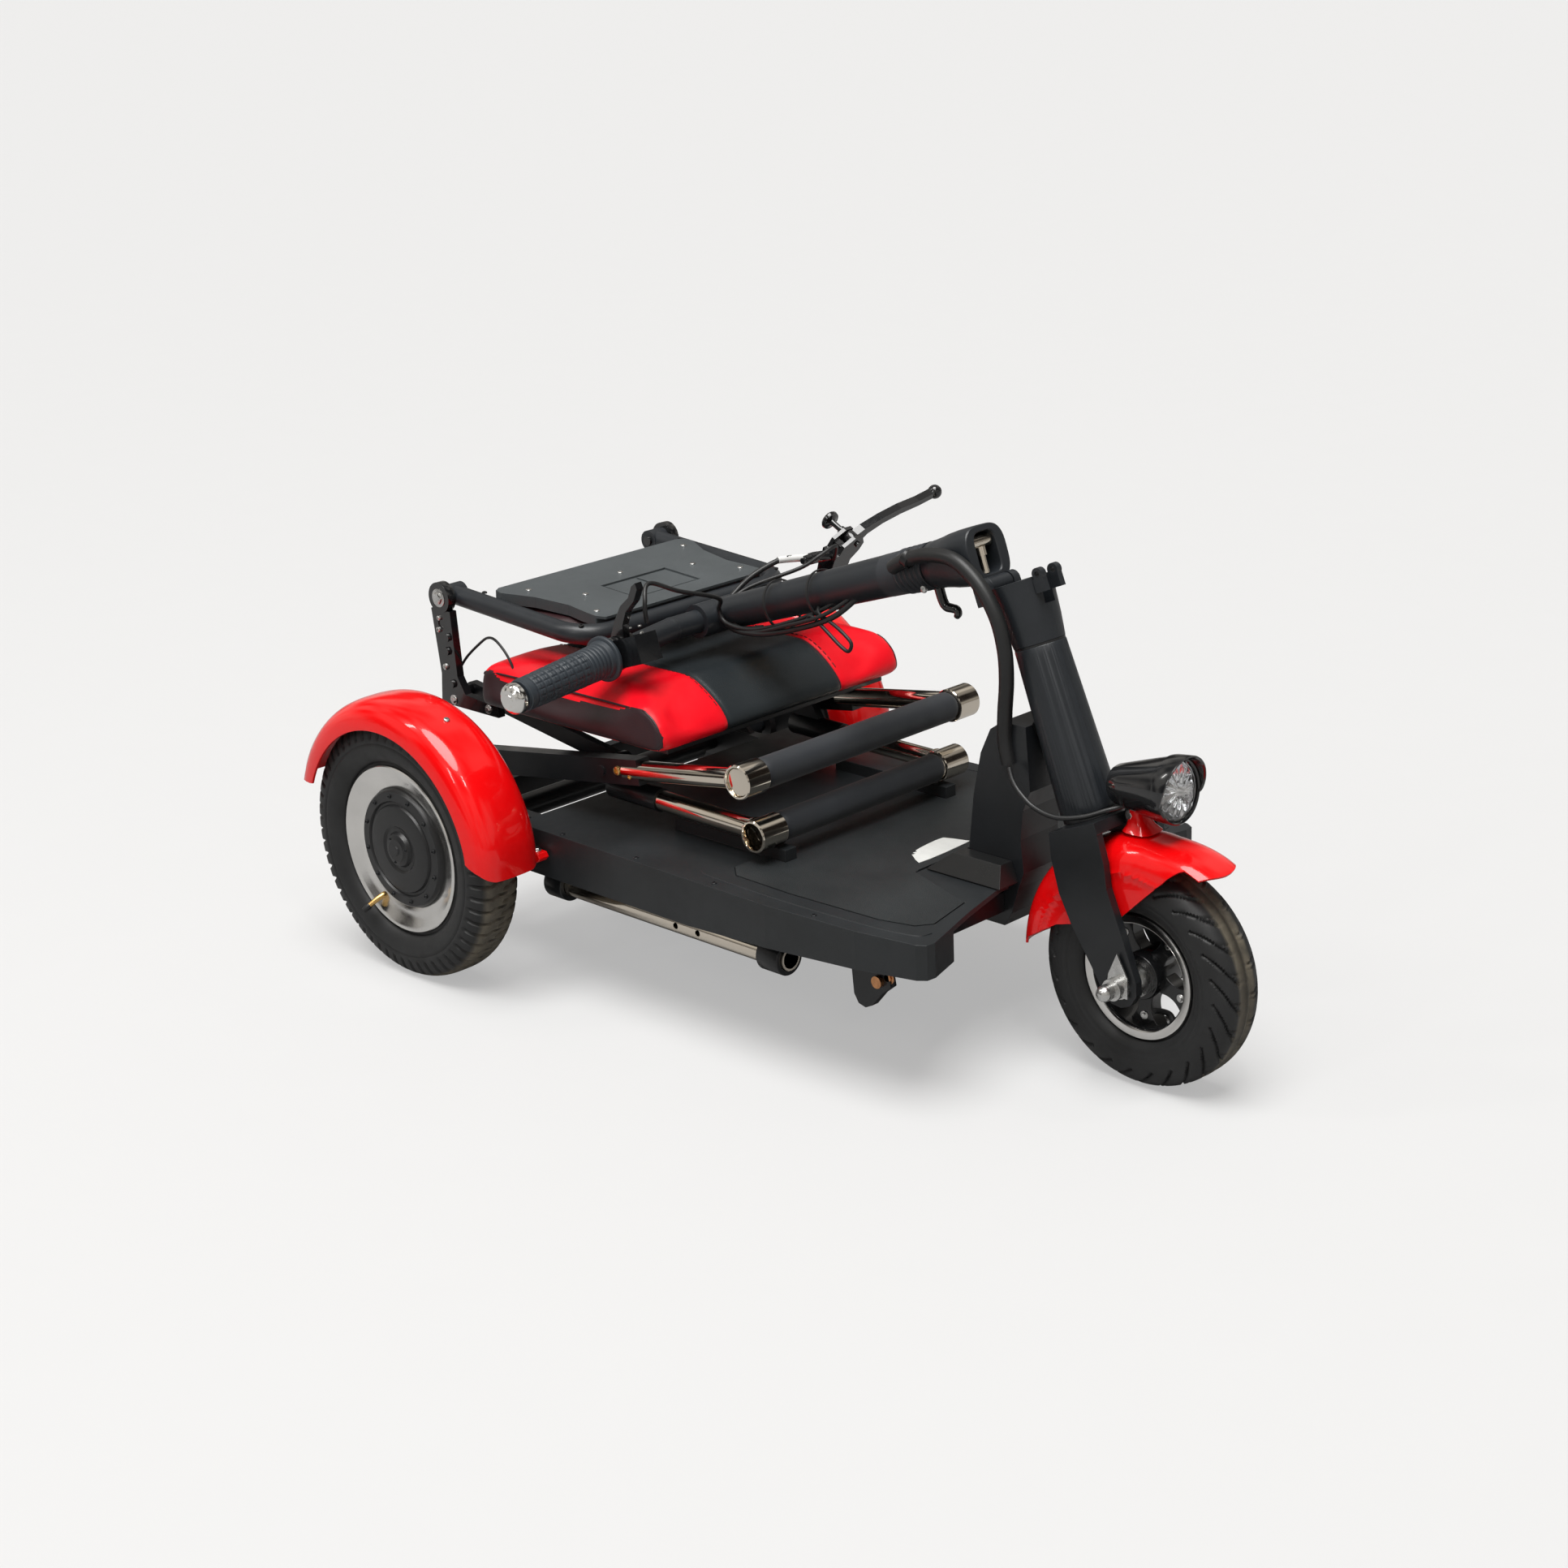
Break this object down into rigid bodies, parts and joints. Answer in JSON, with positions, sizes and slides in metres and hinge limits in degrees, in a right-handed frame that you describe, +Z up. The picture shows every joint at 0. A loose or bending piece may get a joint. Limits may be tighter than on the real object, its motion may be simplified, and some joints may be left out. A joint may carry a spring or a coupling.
{
  "type": "mobility scooter",
  "caption": "Folding three-wheel electric mobility scooter with scissor seat stand, folding backrest, tiller handlebar and footboard, stored folded.",
  "frame": {"origin": "on the ground under the middle of the folded scooter's bounding box", "axes": "+X forward, +Y to the rider's left, +Z up"},
  "size_m": [0.9165, 0.554, 0.4574],
  "materials": {
    "matte_black_plastic": "fine grained",
    "ribbed_mat": "fine texture",
    "black_paint": "satin",
    "red_paint": "gloss",
    "chrome": "polished",
    "steel": "zinc plated",
    "rubber": "matte",
    "tyre": "matte",
    "alloy": "polished",
    "battery_case": "matte",
    "brass": "satin",
    "lens": "clear",
    "mirror": "polished",
    "seat_vinyl": "coated vinyl",
    "grey_shell": "grained",
    "white_plastic": "gloss"
  },
  "bodies": {
    "frame": {"footboard": "matte_black_plastic", "foot_mat": "ribbed_mat", "chassis": "black_paint", "neck": "black_paint", "head_tube": "black_paint", "headset_bearings": "steel", "battery_pack": "battery_case", "controller_box": "matte_black_plastic", "rails": "chrome", "rail_brackets": "black_paint", "rear_axle_beam": "black_paint", "rear_fenders": "red_paint", "front_feet": "black_paint", "frame_bolts": "brass"},
    "steerer": {"steering_column": "black_paint", "stem_hinge_pin": "steel", "fork": "black_paint", "front_axle": "steel", "front_fender": "red_paint", "lamp_shell": "matte_black_plastic", "lamp_reflector": "mirror", "lamp_lens": "lens", "lamp_wire": "rubber", "cable_conduit": "rubber"},
    "front_wheel": {"front_tyre": "tyre", "front_rim": "black_paint", "front_hub": "steel"},
    "wheel_right": {"rear_tyre_right": "tyre", "rear_rim_right": "alloy", "hub_motor_right": "black_paint"},
    "wheel_left": {"rear_tyre_left": "tyre", "rear_rim_left": "alloy", "hub_motor_left": "black_paint"},
    "stem": {"stem_hinge": "black_paint", "stem_tube": "black_paint", "handlebar": "black_paint", "bar_caps": "alloy", "grips": "rubber", "throttle_box": "matte_black_plastic", "brake_perch": "black_paint", "switch_pods": "matte_black_plastic", "bag_hook": "matte_black_plastic", "bar_cables": "rubber"},
    "throttle": {"throttle_lever": "matte_black_plastic"},
    "brake": {"brake_lever": "black_paint"},
    "latch": {"latch_rod": "chrome"},
    "key": {"ignition_key": "brass"},
    "horn": {"horn_button": "white_plastic"},
    "outer_arms": {"outer_legs": "black_paint", "outer_chrome": "chrome", "outer_crossbar": "rubber"},
    "inner_arms": {"inner_legs": "black_paint", "inner_chrome": "chrome", "inner_crossbar": "rubber"},
    "seat": {"seat_cushion": "seat_vinyl", "seat_pan": "black_paint", "back_brackets": "black_paint"},
    "backrest": {"back_cushion": "seat_vinyl", "back_frame": "black_paint", "back_shell": "grey_shell"}
  },
  "joints": [
    {"name": "steer", "type": "hinge", "parent": "frame", "child": "steerer", "pos_m": [0.29755, 0, 0.226], "axis": [-0.3649, 0, 0.9311], "range_deg": [-5, 5]},
    {"name": "front_wheel_spin", "type": "hinge", "parent": "steerer", "child": "front_wheel", "pos_m": [0.35995, 0, 0.0983], "axis": [0, 1, 0], "continuous": true},
    {"name": "wheel_right_spin", "type": "hinge", "parent": "frame", "child": "wheel_right", "pos_m": [-0.31845, -0.243, 0.127], "axis": [0, 1, 0], "continuous": true},
    {"name": "wheel_left_spin", "type": "hinge", "parent": "frame", "child": "wheel_left", "pos_m": [-0.31845, 0.243, 0.127], "axis": [0, 1, 0], "continuous": true},
    {"name": "stem_fold", "type": "hinge", "parent": "steerer", "child": "stem", "pos_m": [0.19725, 0, 0.40795], "axis": [0, 1, 0], "range_deg": [0, 86.5], "deforming": ["cable_conduit"]},
    {"name": "outer_lift", "type": "hinge", "parent": "frame", "child": "outer_arms", "pos_m": [-0.33545, 0, 0.1817], "axis": [0, -1, 0], "range_deg": [0, 38.1]},
    {"name": "inner_lift", "type": "hinge", "parent": "outer_arms", "child": "inner_arms", "pos_m": [-0.15351, 0, 0.20915], "axis": [0, 1, 0], "range_deg": [0, 76.2]},
    {"name": "seat_level", "type": "hinge", "parent": "inner_arms", "child": "seat", "pos_m": [-0.3661, 0, 0.24123], "axis": [0, -1, 0], "range_deg": [0, 38.1]},
    {"name": "backrest_fold", "type": "hinge", "parent": "seat", "child": "backrest", "pos_m": [-0.37245, 0, 0.338], "axis": [0, -1, 0], "range_deg": [0, 104]},
    {"name": "throttle_push", "type": "hinge", "parent": "stem", "child": "throttle", "pos_m": [-0.13973, -0.131, 0.31985], "axis": [0.0839, -0.9946, -0.0617], "range_deg": [0, 25], "stiffness_Nm_per_rad": 0.15, "springref_deg": -5.73},
    {"name": "brake_pull", "type": "hinge", "parent": "stem", "child": "brake", "pos_m": [-0.11107, 0.148, 0.37244], "axis": [-0.8838, 0, 0.4679], "range_deg": [0, 13], "stiffness_Nm_per_rad": 1, "springref_deg": -5.73},
    {"name": "latch_swing", "type": "hinge", "parent": "stem", "child": "latch", "pos_m": [0.17689, 0, 0.44127], "axis": [0, -1, 0], "range_deg": [0, 90]},
    {"name": "key_turn", "type": "hinge", "parent": "stem", "child": "key", "pos_m": [-0.1039, 0.039, 0.33792], "axis": [0.9505, 0, 0.3107], "range_deg": [0, 60]},
    {"name": "horn_press", "type": "slide", "parent": "stem", "child": "horn", "axis": [-0.9505, 0, -0.3107], "range_m": [0, 0.002], "stiffness_N_per_m": 300, "springref_m": -0.001}
  ],
  "couplings": [
    {"joint": "outer_lift", "follows": "stem_fold", "ratio": 0.43931},
    {"joint": "inner_lift", "follows": "stem_fold", "ratio": 0.87861},
    {"joint": "seat_level", "follows": "stem_fold", "ratio": 0.43931}
  ]
}
